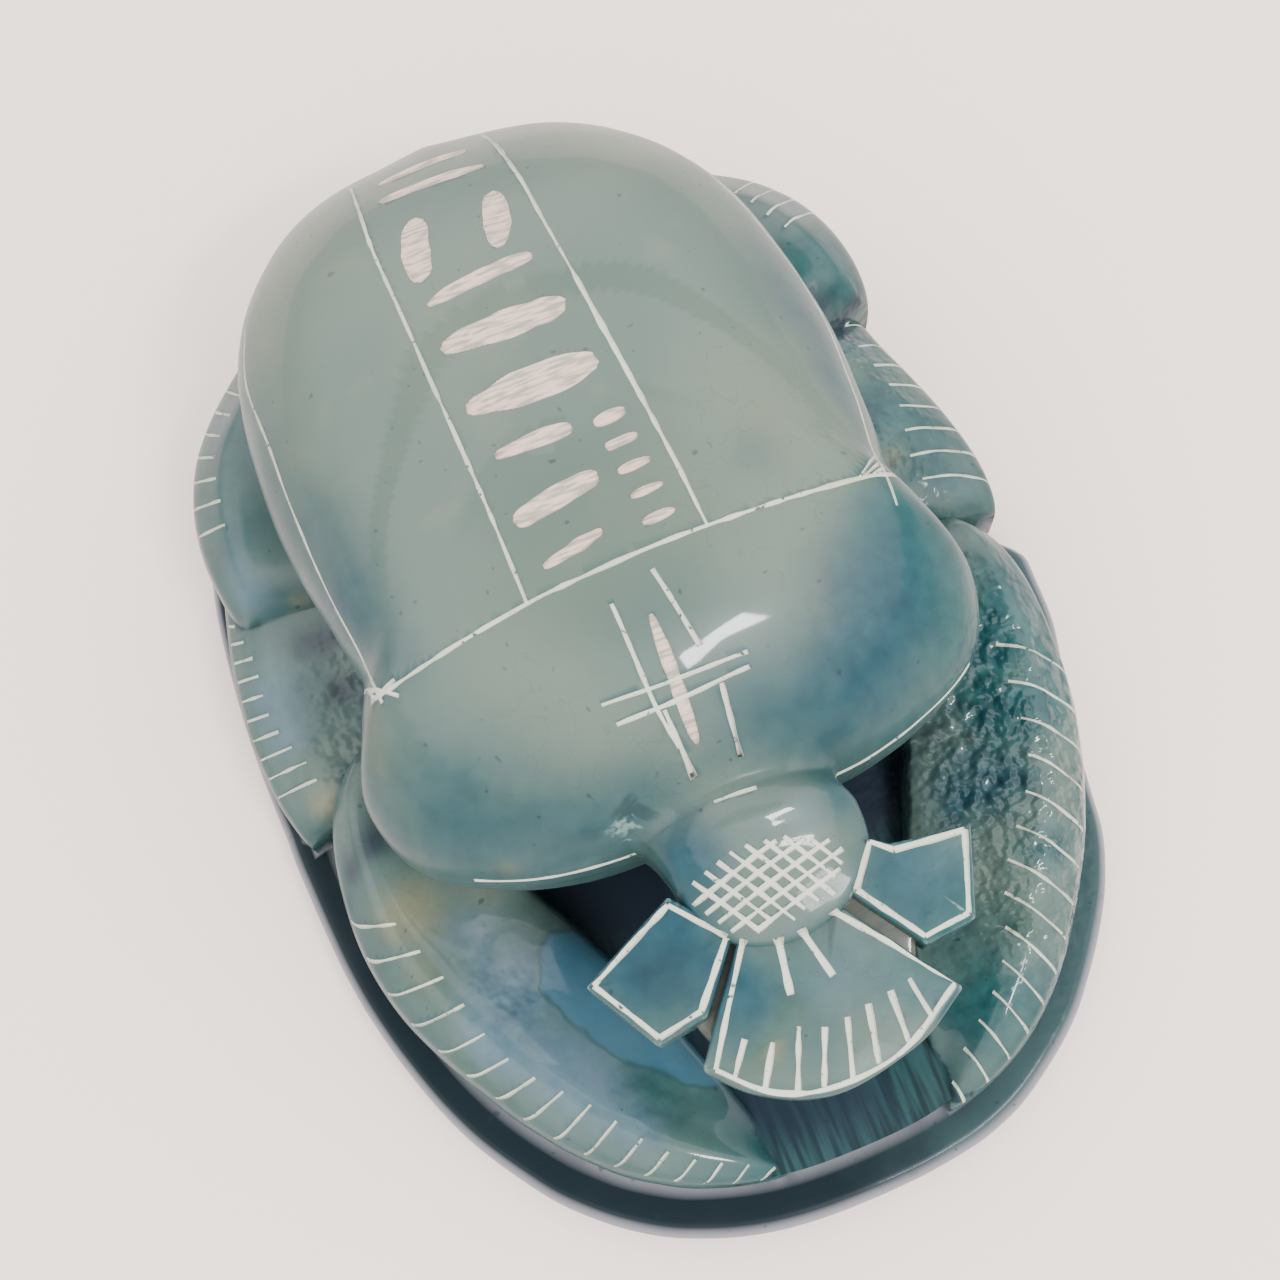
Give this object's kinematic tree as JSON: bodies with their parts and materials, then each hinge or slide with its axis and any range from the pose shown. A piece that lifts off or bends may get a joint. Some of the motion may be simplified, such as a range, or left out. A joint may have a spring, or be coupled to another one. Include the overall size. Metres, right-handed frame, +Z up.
{
  "type": "scarab amulet",
  "caption": "Carved stone beetle amulet on an oval base: smooth domed back with white scored lines, notched legs folded along its sides, and a fan-shaped head over a hollow.",
  "frame": {"origin": "middle of the flat underside, where the amulet lies", "axes": "+Z up through the back, -Y towards the head, +X towards the beetle's left as seen from above with the head pointing at the viewer, the picture's right"},
  "size_m": [0.0534, 0.076, 0.0284],
  "materials": {
    "glazed_stone": "pale grey-green stone with blue and teal stains under a thin glossy glaze, scored lines rubbed white"
  },
  "bodies": {
    "root": {"scarab": "glazed_stone"}
  },
  "joints": []
}
